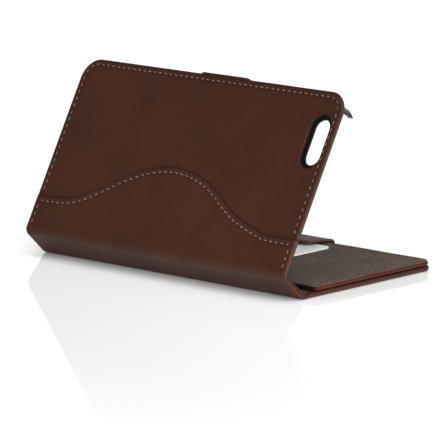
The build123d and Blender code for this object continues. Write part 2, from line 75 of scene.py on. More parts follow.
def add_camera():
    """A long lens that looks slightly down on the case's camera end."""
    back = Vector(
        (
            math.sin(AZIMUTH) * math.cos(ELEVATION),
            -math.cos(AZIMUTH) * math.cos(ELEVATION),
            math.sin(ELEVATION),
        )
    )
    right = Vector((math.cos(AZIMUTH), math.sin(AZIMUTH), 0))
    up = back.cross(right)
    rolled_right = right * math.cos(ROLL) + up * math.sin(ROLL)
    rolled_up = up * math.cos(ROLL) - right * math.sin(ROLL)
    data = bpy.data.cameras.new("camera")
    data.lens = LENS
    data.sensor_width = SENSOR
    data.clip_start = 0.05
    data.clip_end = 50
    camera = bpy.data.objects.new("camera", data)
    bpy.context.scene.collection.objects.link(camera)
    turn = Matrix((rolled_right, rolled_up, back)).transposed().to_4x4()
    camera.matrix_world = Matrix.Translation(TARGET + back * DISTANCE) @ turn
    bpy.context.scene.camera = camera


add_camera()


# ---- The panels, from the CAD frame ----
class Panel:
    """A flat panel, given by a point on its fold, the way across it and the way out of it."""

    def __init__(self, origin, across, outward):
        self.origin = np.array(origin, float)
        self.across = np.array(across, float)
        self.outward = np.array(outward, float)

    def at(self, x, u, depth):
        """The points at x, u and depth, in millimetres."""
        x, u, depth = np.broadcast_arrays(x, u, depth)
        return (
            self.origin
            + x[..., None] * X_DIR
            + u[..., None] * self.across
            - depth[..., None] * self.outward
        )


class Bend:
    """A panel that turns back round an arc at u = start, and then runs on straight."""

    def __init__(self, panel, start, radius, turn):
        self.panel = panel
        self.start = start
        self.radius = radius
        self.turn = turn
        self.end = start - radius * turn

    def at(self, x, u, depth):
        """The points at x, u and depth, where u goes on falling round the arc and beyond it."""
        x, u, depth = np.broadcast_arrays(x, u, depth)
        angle = np.clip((self.start - u) / self.radius, 0, self.turn)[..., None]
        beyond = np.maximum(self.end - u, 0)[..., None]
        across, outward = self.panel.across, self.panel.outward
        out = outward * np.cos(angle) - across * np.sin(angle)
        onward = -across * np.cos(angle) - outward * np.sin(angle)
        centre = self.panel.at(x, np.maximum(u, self.start), self.radius)
        return centre + out * (self.radius - depth[..., None]) + onward * beyond

    def arc_ends(self):
        """Where the arc starts and ends on the outer face, in metres."""
        return self.at(0, self.start, 0) * MM, self.at(0, self.end, 0) * MM


def node_points(node):
    """A CAD node's vertices, in millimetres."""
    return np.array([v.co for v in frame["nodes"][node].data.vertices], float) / MM


def reach(node, origin, direction):
    """How far a CAD node runs from origin along direction, at its least and at its most."""
    along = (node_points(node) - origin) @ direction
    return along.min(), along.max()


joints = {joint["name"]: joint for joint in frame["joints"]}
lower_fold = np.array(joints["front_fold"]["pos_m"]) / MM
upper_fold = np.array(joints["back_fold"]["pos_m"]) / MM
spine_width = np.linalg.norm(upper_fold - lower_fold)
spine_dir = (upper_fold - lower_fold) / spine_width

BACK_LEAN = math.radians(60.6)  # the back cover's slope, as the case stands
back_dir = np.array([0, math.cos(BACK_LEAN), math.sin(BACK_LEAN)])
FOLD_REACH = 1.1  # the lower fold's arc starts this far from the fold line
UPPER_REACH = 2.2  # and the upper fold's, which is softer

front = Panel(lower_fold, (0, 1, 0), (0, 0, -1))
back = Panel(upper_fold, back_dir, (0, -back_dir[2], back_dir[1]))
lower_turn = math.acos(-spine_dir[1])
upper_turn = math.acos(spine_dir @ back_dir)
lower_bend = Bend(front, FOLD_REACH, FOLD_REACH / math.tan(lower_turn / 2), lower_turn)
upper_bend = Bend(back, UPPER_REACH, UPPER_REACH / math.tan(upper_turn / 2), upper_turn)

half = reach("front_outer_leather", lower_fold, X_DIR)[1]
front_width = reach("front_outer_leather", lower_fold, front.across)[1]
back_width = reach("back_upper_leather", upper_fold, back_dir)[1]
cover_thick = reach("front_outer_leather", lower_fold, -front.outward)[1]
back_thick = reach("back_upper_leather", upper_fold, -back.outward)[1]


def spine_middle(bend):
    """The value of u at the middle of the spine, counted round that bend."""
    return bend.end - (spine_width / 2 - bend.start)


# ---- Meshes ----
def new_piece(name, points, faces, material, slot, tint_and_painted_light=None):
    """A mesh object from points in millimetres, with its outside found and its sharp edges kept."""
    mesh = bpy.data.meshes.new(name)
    mesh.from_pydata((np.asarray(points) * MM).tolist(), [], faces)
    if tint_and_painted_light is not None:
        attribute = mesh.attributes.new("tint_and_painted_light", "FLOAT", "POINT")
        attribute.data.foreach_set("value", np.asarray(tint_and_painted_light, np.float32))
    work = bmesh.new()
    work.from_mesh(mesh)
    bmesh.ops.recalc_face_normals(work, faces=work.faces)
    work.to_mesh(mesh)
    work.free()
    mesh.shade_smooth()
    mesh.set_sharp_from_angle(angle=math.radians(50))
    mesh.materials.append(material)
    piece = bpy.data.objects.new(name, mesh)
    bpy.context.scene.collection.objects.link(piece)
    return piece


def sheet_piece(name, outer, inner, material, slot, tint_and_painted_light=None):
    """A closed sheet between two grids of points that have the same number of rows and columns."""
    across, along = outer.shape[:2]
    under = across * along  # what the inner layer's indices are raised by
    index = np.arange(under).reshape(across, along)
    top = np.stack(
        [index[:-1, :-1], index[1:, :-1], index[1:, 1:], index[:-1, 1:]], -1
    ).reshape(-1, 4)
    bottom = top[:, ::-1] + under
    rim = np.concatenate(
        [index[0, :-1], index[:-1, -1], index[-1, :0:-1], index[:0:-1, 0]]
    )
    following = np.roll(rim, -1)
    sides = np.stack([rim, following, following + under, rim + under], -1)
    points = np.concatenate([outer.reshape(-1, 3), inner.reshape(-1, 3)])
    faces = np.concatenate([top, bottom, sides]).tolist()
    both = None if tint_and_painted_light is None else np.concatenate([tint_and_painted_light.ravel(), tint_and_painted_light.ravel()])
    return new_piece(name, points, faces, material, slot, both)


GRID_STEP = 0.59  # a fifth of the stitch pitch
EDGE_ZONE = 4.2  # the grid is finer this close to an edge
EDGE_STEP = 0.3
ROLL_STEPS = 10


def edge_lines(rho, turned):
    """Grid lines at a rolled edge, as distances in from it: the turned-in part is negative."""
    end_of_roll = rho - math.pi * rho
    under = np.linspace(end_of_roll - turned, end_of_roll, 4)[:-1]
    roll = np.linspace(end_of_roll, rho, ROLL_STEPS)
    flat = np.arange(rho + EDGE_STEP, EDGE_ZONE, EDGE_STEP)
    return np.concatenate([under, roll, flat])


def grid_lines(low, high, low_edge=None, high_edge=None, step=GRID_STEP):
    """Grid lines from low to high, finer where an edge is rolled."""
    first = np.array([low]) if low_edge is None else low + low_edge
    last = np.array([high]) if high_edge is None else high - high_edge[::-1]
    count = max(2, round((last[0] - first[-1]) / step))
    middle = np.linspace(first[-1], last[0], count + 1)[1:-1]
    return np.concatenate([first, middle, last])


def rolled(run, rho, layer):
    """Distance in from the edge, and depth, of a sheet that has run on over its edge to run.

    rho is half the edge's thickness, and layer the depth below the sheet's outer face."""
    angle = np.clip((rho - run) / rho, 0, math.pi)
    inset = np.where(run > rho, run, rho - (rho - layer) * np.sin(angle))
    past = rho - math.pi * rho - run
    inset = np.where(past > 0, rho + past, inset)
    return inset, rho - (rho - layer) * np.cos(angle)


def lay_sheet(columns, rows, middle, half_length, near, far, near_corner, far_corner, rho, layer):
    """x, u, depth and the distance run in from the edge, of a sheet rolled over its edges.

    near_corner is None where the sheet runs on over a fold. rho may differ from row to row."""
    x, u = np.meshgrid(columns, rows, indexing="ij")
    rho = np.broadcast_to(rho, x.shape)
    side = np.sign(x - middle)
    from_side = half_length - np.abs(x - middle)
    from_far = far - u
    from_near = np.full(u.shape, np.inf) if near_corner is None else u - near
    at_far = from_far <= from_near
    from_end = np.where(at_far, from_far, from_near)
    corner = np.where(at_far, far_corner, far_corner if near_corner is None else near_corner)
    by_side = corner - from_side
    by_end = corner - from_end
    in_corner = (by_side > 0) & (by_end > 0)
    ring = np.maximum(np.maximum(by_side, by_end), 1e-9)
    eighth = math.pi / 4 * np.minimum(by_side, by_end) / ring
    theta = np.where(by_side >= by_end, eighth, math.pi / 2 - eighth)
    run = np.where(in_corner, corner - ring, np.minimum(from_side, from_end))
    inset, depth = rolled(run, rho, layer)
    radius = corner - inset
    side_edge = from_side <= from_end
    x_plain = np.where(side_edge, middle + side * (half_length - inset), x)
    inset_end = np.where(side_edge, from_end, inset)
    x_corner = middle + side * (half_length - corner + radius * np.cos(theta))
    x_out = np.where(in_corner, x_corner, x_plain)
    end_out = np.where(in_corner, corner - radius * np.sin(theta), inset_end)
    u_out = np.where(at_far, far - end_out, near + end_out)
    return x_out, u_out, depth, run


def smooth(share):
    """0 below 0, 1 above 1, and a smooth step between."""
    share = np.clip(share, 0, 1)
    return share * share * (3 - 2 * share)


def bump(value, centre, width):
    """A rounded hill of height 1."""
    return np.exp(-(((value - centre) / width) ** 2))


# ---- Seams: a line of stitches, the holes they go down, and the leather they pull in ----
STITCH_PITCH = 2.95
STITCH_LENGTH = 1.45
THREAD_WIDE = 0.25
THREAD_HIGH = 0.18
THREAD_SIDES = 10
THREAD_RINGS = 11
THREAD_SINK = 0.05  # the stitches are drawn this far into the leather
LINE_SAMPLES = 6  # points to each stitch, along the line that the leather's groove follows
GROOVE_WIDE = 0.75
HOLE_WIDE = 0.5
PULL_REACH = 2.0  # a seam draws nothing in beyond this distance
BATCH = 4000  # points worked out at a time


class Seam:
    """A row of stitches along a line of (x, u) points, each set in a shallow dimple."""

    def __init__(self, line):
        line = np.array(line, float)
        lengths = np.r_[0, np.cumsum(np.linalg.norm(np.diff(line, axis=0), axis=1))]
        count = round(lengths[-1] / STITCH_PITCH)
        self.pitch = lengths[-1] / count
        self.line = self.sample(line, lengths, np.linspace(0, lengths[-1], LINE_SAMPLES * count + 1))
        self.centres = self.sample(line, lengths, (np.arange(count) + 0.5) * self.pitch)
        self.holes = self.sample(line, lengths, np.arange(count + 1) * self.pitch)
        ahead = self.sample(line, lengths, (np.arange(count) + 0.6) * self.pitch)
        along = ahead - self.centres
        self.along = along / np.linalg.norm(along, axis=1)[:, None]

    @staticmethod
    def sample(line, lengths, spots):
        """Points of the line at those distances along it."""
        return np.stack([np.interp(spots, lengths, line[:, k]) for k in (0, 1)], -1)

    def pull(self, x, u, groove=0.14, hole=0.26):
        """How deep the seam draws the leather in at x, u."""
        flat = np.stack([x.ravel(), u.ravel()], -1)
        result = np.zeros(len(flat))
        low, high = self.line.min(0) - PULL_REACH, self.line.max(0) + PULL_REACH
        near = np.flatnonzero(np.all((flat > low) & (flat < high), axis=1))
        for part in np.array_split(near, max(1, len(near) // BATCH)):
            spots = flat[part][:, None]
            to_line = np.linalg.norm(spots - self.line[None], axis=2).min(1)
            to_hole = np.linalg.norm(spots - self.holes[None], axis=2).min(1)
            result[part] = groove * bump(to_line, 0, GROOVE_WIDE)
            result[part] += hole * bump(to_hole, 0, HOLE_WIDE)
        return result.reshape(x.shape)

    def threads(self, name, surface, depth, material, slot):
        """The stitches themselves, each an arched length of two-ply thread."""
        share = np.linspace(-1, 1, THREAD_RINGS)[:, None]
        around = np.linspace(0, 2 * math.pi, THREAD_SIDES, endpoint=False)[None]
        taper = np.sqrt(np.clip(1.02 - share**6, 0, 1))
        ply = 1 + 0.1 * np.cos(2 * around - 7 * share)
        sideways = THREAD_WIDE * taper * ply * np.cos(around)
        height = 0.14 - 0.42 * share**4 + THREAD_HIGH * taper * ply * np.sin(around)
        along = share * STITCH_LENGTH / 2 + 0 * around
        points = []
        faces = []
        for centre, way in zip(self.centres, self.along):
            x = centre[0] + along * way[0] - sideways * way[1]
            u = centre[1] + along * way[1] + sideways * way[0]
            start = len(points) * THREAD_RINGS * THREAD_SIDES
            points.append(surface.at(x, u, depth - height).reshape(-1, 3))
            for i in range(THREAD_RINGS - 1):
                for k in range(THREAD_SIDES):
                    after = (k + 1) % THREAD_SIDES
                    ring = start + i * THREAD_SIDES
                    faces.append(
                        (ring + k, ring + after, ring + THREAD_SIDES + after, ring + THREAD_SIDES + k)
                    )
            last = start + (THREAD_RINGS - 1) * THREAD_SIDES
            faces.append(tuple(range(start, start + THREAD_SIDES))[::-1])
            faces.append(tuple(range(last, last + THREAD_SIDES)))
        return new_piece(name, np.concatenate(points), faces, material, slot)


def rounded_line(corners, radius):
    """A line of points through right-angled corners, each rounded to radius."""
    points = [np.array(corners[0], float)]
    for before, corner, after in zip(corners, corners[1:], corners[2:]):
        corner = np.array(corner, float)
        into = np.array(before) - corner
        out = np.array(after) - corner
        into = into / np.linalg.norm(into)
        out = out / np.linalg.norm(out)
        centre = corner + radius * (into + out)
        for angle in np.linspace(0, math.pi / 2, 9):
            points.append(centre - radius * (out * math.cos(angle) + into * math.sin(angle)))
    points.append(np.array(corners[-1], float))
    return points


# ---- Materials ----
class Nodes:
    """A short way to build a material's node tree."""

    def __init__(self, name):
        self.material = bpy.data.materials.new(name)
        self.material.use_nodes = True
        self.tree = self.material.node_tree
        self.shader = self.tree.nodes["Principled BSDF"]
        self.place = self.add("ShaderNodeTexCoord").outputs["Object"]

    def fill(self, socket, value):
        """Links an output to the socket, or sets a value on it."""
        if isinstance(value, bpy.types.NodeSocket):
            self.tree.links.new(value, socket)
        else:
            socket.default_value = value

    def add(self, kind, inputs=None, **settings):
        """A node with those settings, its inputs given as values or as outputs to link."""
        node = self.tree.nodes.new(kind)
        for key, value in settings.items():
            setattr(node, key, value)
        for key, value in (inputs or {}).items():
            self.fill(node.inputs[key], value)
        return node

    def noise(self, scale, detail=4, roughness=0.55):
        """Noise whose features are about 1 / scale metres."""
        inputs = {"Vector": self.place, "Scale": scale, "Detail": detail, "Roughness": roughness}
        return self.add("ShaderNodeTexNoise", inputs).outputs["Fac"]

    def spread(self, value, low, high, to_low, to_high):
        """value, stretched from low..high to to_low..to_high."""
        inputs = {"Value": value, "From Min": low, "From Max": high}
        inputs.update({"To Min": to_low, "To Max": to_high})
        return self.add("ShaderNodeMapRange", inputs).outputs["Result"]

    def mix(self, share, first, second):
        """A colour between first and second."""
        inputs = {0: share, 6: first, 7: second}
        return self.add("ShaderNodeMix", inputs, data_type="RGBA").outputs[2]

    def relief(self, layers):
        """Bumps laid over each other: (height output, distance in metres) each."""
        normal = None
        for height, distance in layers:
            inputs = {"Height": height, "Distance": distance, "Strength": 1.0}
            if normal:
                inputs["Normal"] = normal
            normal = self.add("ShaderNodeBump", inputs).outputs["Normal"]
        self.tree.links.new(normal, self.shader.inputs["Normal"])

    def set(self, **inputs):
        """Values or outputs for the shader's inputs, with _ for a space in a name."""
        for key, value in inputs.items():
            self.fill(self.shader.inputs[key.replace("_", " ")], value)


def colour(red, green, blue):
    """A linear colour from one given in 0..255 display values."""
    linear = []
    for share in (red / 255, green / 255, blue / 255):
        linear.append(((share + 0.055) / 1.055) ** 2.4 if share > 0.04 else share / 12.92)
    return (*linear, 1.0)


def leather_material(name, dark, light, edge, shadow):
    """Smooth, finely grained leather. Where the mesh attribute is above 0 it is lightened towards the edge colour,
    for rubbed edges and for a painted highlight, and where it is below 0 it is darkened towards the shadow colour,
    for painted shade and for dark edge paint."""
    look = Nodes(name)
    clouds = look.spread(look.noise(36, 4), 0.36, 0.64, 0, 1)
    grain = look.spread(look.noise(1300, 5, 0.65), 0.3, 0.7, 0, 1)
    shade = look.add("ShaderNodeMath", {0: clouds, 1: 0.9, 2: grain}, operation="MULTIPLY_ADD")
    base = look.mix(look.spread(shade.outputs[0], 0.2, 1.7, 0, 1), dark, light)
    tint_and_painted_light = look.add("ShaderNodeAttribute", attribute_name="tint_and_painted_light").outputs["Fac"]
    patchy = look.spread(look.noise(400), 0.35, 0.65, 0.6, 1)
    wear_and_highlight_share = look.add("ShaderNodeMath", {0: tint_and_painted_light, 1: patchy}, operation="MULTIPLY", use_clamp=True)
    base = look.mix(wear_and_highlight_share.outputs[0], base, edge)
    look.set(Base_Color=look.mix(look.spread(tint_and_painted_light, 0, -1, 0, 1), base, shadow))
    look.set(Roughness=look.spread(look.noise(160, 5), 0.3, 0.7, 0.44, 0.58))
    look.set(Specular_IOR_Level=0.1, Coat_Weight=0.08, Coat_Roughness=0.3)
    cells = look.add("ShaderNodeTexVoronoi", {"Vector": look.place, "Scale": 1500.0}, feature="F1")
    pores = cells.outputs["Distance"]
    look.relief([(look.noise(110, 3), 0.0003), (pores, 0.00006), (look.noise(2600, 3), 0.00005)])
    return look.material


def suede_material(name, dark, light, edge):
    """Brushed microfibre with a soft nap, and the leather's colour where it is bound at an edge."""
    look = Nodes(name)
    fibres = look.spread(look.noise(650, 6, 0.8), 0.35, 0.65, 0, 1)
    brushed = look.spread(look.noise(90, 3), 0.35, 0.65, 0, 1)
    tone = look.add("ShaderNodeMath", {0: brushed, 1: 0.35, 2: fibres}, operation="MULTIPLY_ADD")
    cloth = look.mix(look.spread(tone.outputs[0], 0.1, 1.25, 0, 1), dark, light)
    bound = look.add("ShaderNodeAttribute", attribute_name="tint_and_painted_light").outputs["Fac"]
    look.set(Base_Color=look.mix(bound, cloth, edge))
    look.set(Roughness=0.95, Specular_IOR_Level=0.06, Sheen_Weight=0.04, Sheen_Roughness=0.5)
    look.relief([(look.noise(1500, 6, 0.7), 0.00018), (look.noise(220, 3), 0.0002)])
    return look.material


def thread_material(name, dark, light):
    """Waxed thread with a little variation along it."""
    look = Nodes(name)
    look.set(Base_Color=look.mix(look.spread(look.noise(900, 3), 0.35, 0.65, 0, 1), dark, light))
    look.set(Roughness=0.6, Sheen_Weight=0.2)
    look.relief([(look.noise(6000, 3), 0.00005)])
    return look.material


def plastic_material():
    """Black moulded plastic with a high gloss and the faintest ripple."""
    look = Nodes("shell_plastic")
    look.set(Base_Color=look.mix(look.noise(300), colour(12, 12, 13), colour(17, 16, 17)))
    look.set(Roughness=look.spread(look.noise(500, 4), 0.3, 0.7, 0.16, 0.26))
    look.set(Specular_IOR_Level=0.06, Coat_Weight=0.15, Coat_Roughness=0.1)
    look.relief([(look.noise(90, 2), 0.0001)])
    return look.material


def board_material():
    """Grey-brown pressed board with short fibres."""
    look = Nodes("pressed_board")
    look.set(Base_Color=look.mix(look.noise(1800, 6), colour(120, 108, 92), colour(158, 146, 128)))
    look.set(Roughness=0.95)
    look.relief([(look.noise(2400, 4), 0.0001)])
    return look.material


def card_material():
    """White coated card with a soft gloss."""
    look = Nodes("white_card")
    look.set(Base_Color=look.mix(look.noise(250, 4), colour(212, 214, 214), colour(226, 227, 226)))
    look.set(Roughness=look.spread(look.noise(700, 3), 0.3, 0.7, 0.28, 0.38))
    look.relief([(look.noise(3000, 2), 0.00001)])
    return look.material


def tape_material():
    """Grey foam tape."""
    look = Nodes("foam_tape")
    look.set(Base_Color=look.mix(look.noise(2500, 4), colour(140, 140, 136), colour(168, 168, 162)))
    look.set(Roughness=0.85)
    look.relief([(look.noise(3500, 3), 0.0001)])
    return look.material


def magnet_material():
    """Plated steel with fine brushing along X."""
    look = Nodes("plated_steel")
    stretched = look.add("ShaderNodeMapping", {"Vector": look.place, "Scale": (60, 4000, 4000)})
    brushing = look.add("ShaderNodeTexNoise", {"Vector": stretched.outputs[0], "Scale": 1.0})
    brushing = brushing.outputs["Fac"]
    look.set(Base_Color=look.mix(brushing, colour(170, 171, 173), colour(205, 205, 206)))
    look.set(Metallic=1.0, Roughness=0.32)
    look.relief([(brushing, 0.00001)])
    return look.material


# Painted shade, and the dark paint on the wave's cut edge, take this colour.
SHADOW_BROWN = colour(26, 14, 10)
# The edge colour serves for rubbed edges and for the painted highlight at the camera end.
leather = leather_material(
    "brown_leather", colour(46, 22, 11), colour(56, 28, 14), colour(92, 54, 40), SHADOW_BROWN
)
lining_leather = leather_material(
    "edge_leather", colour(50, 24, 16), colour(60, 30, 21), colour(78, 43, 32), SHADOW_BROWN
)
suede = suede_material(
    "grey_brown_microfibre", colour(56, 44, 38), colour(95, 78, 69), colour(74, 39, 29)
)
thread = thread_material("brown_thread", colour(76, 48, 37), colour(114, 78, 64))
dark_thread = thread_material("dark_thread", colour(56, 44, 38), colour(76, 61, 54))
plastic = plastic_material()

CAD_MATERIALS = {
    "board": board_material(),
    "shell": plastic,
    "tape": tape_material(),
    "magnet": magnet_material(),
    "card": card_material(),
}
slot_of = {part["node"]: part["material_slot"] for part in frame["record"]["subparts"]}
for node_name, node in frame["nodes"].items():
    finish = CAD_MATERIALS.get(slot_of[node_name], suede)
    node.data.materials.clear()
    node.data.materials.append(finish)


# ---- The front cover's skin, which runs round the lower fold to the middle of the spine ----
SKIN = 0.4  # thickness of the leather where it shows
TURNED = 2.0  # it is turned in this far round the edges
FRONT_CORNER = 5.0
BACK_CORNER = 8.5
FOLD_EDGE = 0.42  # half the edge's thickness at the folds and the spine
PINCH = 4.0  # the front cover's edge thins towards the fold over this distance


def ripple(x, u):
    """Slow, slight unevenness, as in leather that has been handled."""
    waves = 0.05 * np.sin(0.09 * x + 0.8) * np.sin(0.13 * u + 0.3)
    return waves + 0.03 * np.sin(0.21 * x - 0.11 * u + 2.0)


def front_skin():
    """The outer leather under the front cover and up half the spine."""
    rho = cover_thick / 2
    ends = edge_lines(rho, TURNED)
    columns = grid_lines(-half, half, ends, ends, step=1.2)
    rows = grid_lines(spine_middle(lower_bend), front_width, None, ends, step=0.7)
    edge = FOLD_EDGE + (rho - FOLD_EDGE) * smooth((rows[None] - lower_bend.start) / PINCH)
    layers = []
    for layer in (0.0, SKIN):
        x, u, depth, run = lay_sheet(
            columns, rows, 0, half, 0, front_width, None, FRONT_CORNER, edge, layer
        )
        layers.append(lower_bend.at(x, u, depth))
    tint_and_painted_light = bump(run, 0.2, 0.9)
    piece = sheet_piece("front_cover_skin", *layers, lining_leather, "leather", tint_and_painted_light)
    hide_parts("front_outer_leather", "lower_fold_strip", "spine_leather")
    start, end = lower_bend.arc_ends()
    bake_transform(piece)
    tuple(start)
    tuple(end)


front_skin()


# ---- The back cover: its upper leather, and the lower leather with the wave-shaped edge ----
STITCH_INSET = 2.2  # from the edge to the seam
CAMERA_END_INSET = 2.8  # and at the camera end
EDGE_SEAM_START = 2.0  # the upper seam's ends, above the wave
LOWER_SEAM_START = 3.0  # the lower seams' upper ends, below the wave
LOWER_SEAM_END = 3.0  # and their lower ends, above the fold
WAVE_SEAM_DROP = 1.8  # from the wave's edge to its seam


def wave_line():
    """The wave's edge, as x and u, read from the CAD node that it replaces."""
    points = node_points("back_wave_leather") - upper_fold
    x = points[:, 0]
    u = points[:, 1:] @ back_dir[1:]
    at_edge = u > FOLD_REACH + 1
    order = np.argsort(x[at_edge])
    return x[at_edge][order], u[at_edge][order]


wave_x, wave_u = wave_line()
seam_left = -half + STITCH_INSET
seam_right = half - CAMERA_END_INSET
seam_top = back_width - STITCH_INSET


def wave_seam_line():
    """The seam a little below the wave's edge, measured square to it."""
    x = np.linspace(seam_left, seam_right, 240)
    u = np.interp(x, wave_x, wave_u)
    slope = np.gradient(u, x)
    size = np.sqrt(1 + slope**2)
    return np.stack([x + WAVE_SEAM_DROP * slope / size, u - WAVE_SEAM_DROP / size], -1)


wave_seam = Seam(wave_seam_line())
back_seam_corners = [
    (seam_left, wave_u[0] + EDGE_SEAM_START),
    (seam_left, seam_top),
    (seam_right, seam_top),
    (seam_right, wave_u[-1] + EDGE_SEAM_START),
]
back_seam = Seam(rounded_line(back_seam_corners, BACK_CORNER - CAMERA_END_INSET))
left_seam = Seam([(seam_left, wave_u[0] - LOWER_SEAM_START), (seam_left, LOWER_SEAM_END)])
right_seam = Seam([(seam_right, wave_u[-1] - LOWER_SEAM_START), (seam_right, LOWER_SEAM_END)])

CAMERA_X = 63.1  # the middle of the camera window
CAMERA_U = 54.0
CAMERA_LONG = 22.0
CAMERA_WIDE = 10.9


def window_outline(count):
    """The camera window's outline, as points with the way out of it at each."""
    radius = CAMERA_WIDE / 2
    straight = CAMERA_LONG / 2 - radius
    points = []
    ways = []
    for angle in np.linspace(0, 2 * math.pi, count, endpoint=False):
        way = np.array([math.cos(angle), math.sin(angle)])
        end = straight if way[1] >= 0 else -straight
        points.append(np.array([CAMERA_X, CAMERA_U + end]) + radius * way)
        ways.append(way)
    return np.array(points), np.array(ways)


def cut_window(piece):
    """Cuts the camera window through a closed piece on the back cover."""
    count = 48
    points, _ = window_outline(count)
    low = back.at(*points.T, -2.0)
    high = back.at(*points.T, 3.0)
    faces = [(k, (k + 1) % count, count + (k + 1) % count, count + k) for k in range(count)]
    faces += [tuple(range(count))[::-1], tuple(range(count, 2 * count))]
    cutter = new_piece("cutter", np.concatenate([low, high]), faces, leather, "leather")
    modifier = piece.modifiers.new("window", "BOOLEAN")
    modifier.operation = "DIFFERENCE"
    modifier.solver = "EXACT"
    modifier.object = cutter
    graph = bpy.context.evaluated_depsgraph_get()
    cut = bpy.data.meshes.new_from_object(piece.evaluated_get(graph))
    piece.modifiers.clear()
    piece.data = cut
    bpy.data.objects.remove(cutter)


def camera_end(x):
    """0 along most of the case, rising to 1 near its camera end."""
    return smooth((x - half + 9) / 4)


def bead(x, run):
    """The rounded welt between the edge and its seam: higher at the camera end."""
    welt = 0.1 + 0.16 * camera_end(x)
    return welt * bump(run, 1.1, 0.8) - 0.12 * camera_end(x) * bump(run, 2.05, 0.35)


def edge_wear_and_painted_light(x, run):
    """How far the back cover's edges are lightened at the camera end, partly rubbed wear and partly a painted
    highlight from the light on that end, and elsewhere darkened with painted shade on the rounded rim.
    """
    return (0.95 * camera_end(x) - 0.6) * bump(run, 0, 1.0)


def seam_painted_shade(x, u, *seams):
    """How much painted shade darkens the leather in the seams' grooves."""
    return 0.45 * sum(seam.pull(x, u, 1.0, 0.6) for seam in seams)


BACK_EDGE = 0.34  # half the thickness of its edges
BACK_SINK = 0.22  # the upper leather's face lies this far below the lower leather's


def back_upper():
    """The back cover's leather above the wave, turned in over its edges."""
    rho = BACK_EDGE
    ends = edge_lines(rho, TURNED)
    near = UPPER_REACH + 0.3
    columns = grid_lines(-half, half, ends, ends)
    rows = grid_lines(near, back_width, None, ends)
    layers = []
    for layer in (0.0, SKIN):
        x, u, depth, run = lay_sheet(
            columns, rows, 0, half, near, back_width, None, BACK_CORNER, rho, layer
        )
        outside = run > rho - math.pi * rho / 2
        raised = bead(x, run) + ripple(x, u) - back_seam.pull(x, u)
        depth = depth + BACK_SINK - np.where(outside, raised, 0)
        layers.append(back.at(x, u, depth))
    # Painted highlight on the camera end's edges, painted shade on the other edges and in the seam's groove.
    tint_and_painted_light = edge_wear_and_painted_light(x, run) - seam_painted_shade(x, u, back_seam)
    # Painted shadow on the upper leather just above the wave, where the lower leather's edge shades it.
    above_wave = u - np.interp(x, wave_x, wave_u)
    tint_and_painted_light -= 0.8 * bump(above_wave, 0.1, 0.7)
    piece = sheet_piece("back_cover_upper", *layers, leather, "leather", tint_and_painted_light)
    cut_window(piece)
    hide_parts("back_upper_leather")
    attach(piece, "back_cover")


back_upper()


def back_lower():
    """The lower leather, from its wave-shaped edge down round the upper fold to mid spine."""
    rho = FOLD_EDGE
    ends = edge_lines(rho, 0.2)
    columns = grid_lines(-half, half, ends, ends)
    edge_u = np.interp(columns, wave_x, wave_u)
    spine_end = spine_middle(upper_bend)
    fold_rows = grid_lines(spine_end, UPPER_REACH + 2, step=0.45)
    share = np.linspace(0, 1, 40)[1:-1]
    # Rows below the wave's edge follow it, these distances down from it.
    drops = np.array([3.6, 3.1, 2.7, 2.4, 2.1, 1.8, 1.5, 1.2, 0.8, 0.4, 0.12, 0.0])
    columns_of_u = []
    for top in edge_u:
        field = fold_rows[-1] + share * (top - drops[0] - fold_rows[-1])
        columns_of_u.append(np.concatenate([fold_rows, field, top - drops, [top + 0.02, top]]))
    u = np.array(columns_of_u)
    x = np.repeat(columns[:, None], u.shape[1], 1)
    from_side = half - np.abs(x)
    from_spine_end = u - spine_end
    step_down = np.zeros(u.shape)
    step_down[:, -3:] = (0.1, 0.25, 0.75)  # the cut edge, down to the upper leather
    step_down *= smooth(from_side / 0.8)
    welt = 0.25 * bump(edge_u[:, None] - u, 0.55, 0.7) * smooth(from_side / 3)
    layers = []
    for layer in (0.0, SKIN - 0.05):
        inset, depth = rolled(from_side, rho, layer)
        x_out = np.sign(x) * (half - inset)
        raised = (bead(x, from_side) + ripple(x, u)) * (from_side > 0)
        raised = raised + welt - wave_seam.pull(x, u)
        raised -= left_seam.pull(x, u) + right_seam.pull(x, u)
        raised *= smooth(from_spine_end / 4)
        slack = 0.12 * bump(u, -3.5, 2.2) + 0.18 * bump(u, 4.5, 3.0)
        raised = raised + 0.6 * slack * np.sin(0.05 * x + 1.0) * smooth(from_spine_end / 2)
        if layer == 0:
            depth = depth - raised + step_down
        else:
            depth = depth - raised * (u > UPPER_REACH)  # smooth inside the fold
        layers.append(upper_bend.at(x_out, u, depth))
    # Painted highlight on the camera end's edges, painted shade on the other edges and in the seams' grooves; the
    # wave's cut edge is given dark edge paint.
    tint_and_painted_light = edge_wear_and_painted_light(x, from_side) - seam_painted_shade(x, u, wave_seam, left_seam, right_seam)
    tint_and_painted_light = np.where(step_down > 0.05, -1, tint_and_painted_light)
    piece = sheet_piece("back_cover_lower", *layers, leather, "leather", tint_and_painted_light)
    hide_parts("back_wave_leather", "upper_fold_strip")
    end, start = upper_bend.arc_ends()
    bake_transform(piece)
    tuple(start)
    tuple(end)


back_lower()

stitching = back_seam.threads("back_edge_threads", back, BACK_SINK + THREAD_SINK, thread, "thread")
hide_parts("back_edge_stitches")
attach(stitching, "back_cover")
stitching = wave_seam.threads("wave_threads", back, THREAD_SINK, thread, "thread")
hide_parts("wave_stitches")
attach(stitching, "back_cover")
for name, seam in (("lower_left_threads", left_seam), ("lower_right_threads", right_seam)):
    stitching = seam.threads(name, back, THREAD_SINK, thread, "thread")
    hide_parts("lower_edge_stitches")
    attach(stitching, "back_cover")


